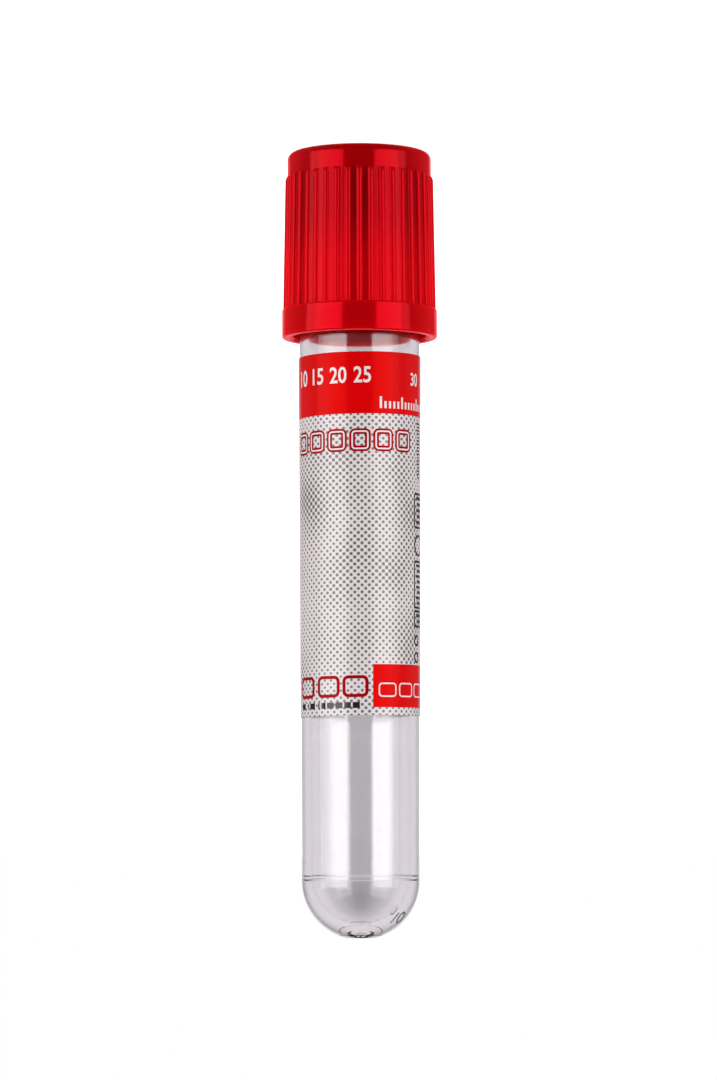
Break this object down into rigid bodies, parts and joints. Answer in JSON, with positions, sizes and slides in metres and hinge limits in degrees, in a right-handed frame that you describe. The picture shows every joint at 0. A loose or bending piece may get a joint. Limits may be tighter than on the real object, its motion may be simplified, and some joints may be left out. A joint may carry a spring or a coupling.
{
  "type": "blood collection tube",
  "caption": "Clear round-bottomed blood collection tube with a printed film label and a ribbed red push-on cap that holds a rubber stopper.",
  "frame": {"origin": "centre of the flat closed end of the cap, which it stands on", "axes": "+Z along the tube's axis towards its domed end; the label's slit faces +Y"},
  "size_m": [0.0166, 0.0166, 0.0841],
  "materials": {
    "clear_plastic": "gloss",
    "label_film": "satin",
    "stopper_rubber": "matte",
    "cap_plastic": "gloss"
  },
  "bodies": {
    "closure": {"cap": "cap_plastic", "stopper": "stopper_rubber"},
    "tube_body": {"tube": "clear_plastic", "label": "label_film"}
  },
  "joints": [
    {"name": "closure_pull", "type": "slide", "parent": "closure", "child": "tube_body", "axis": [0, 0, 1], "range_m": [0, 0.015]}
  ]
}
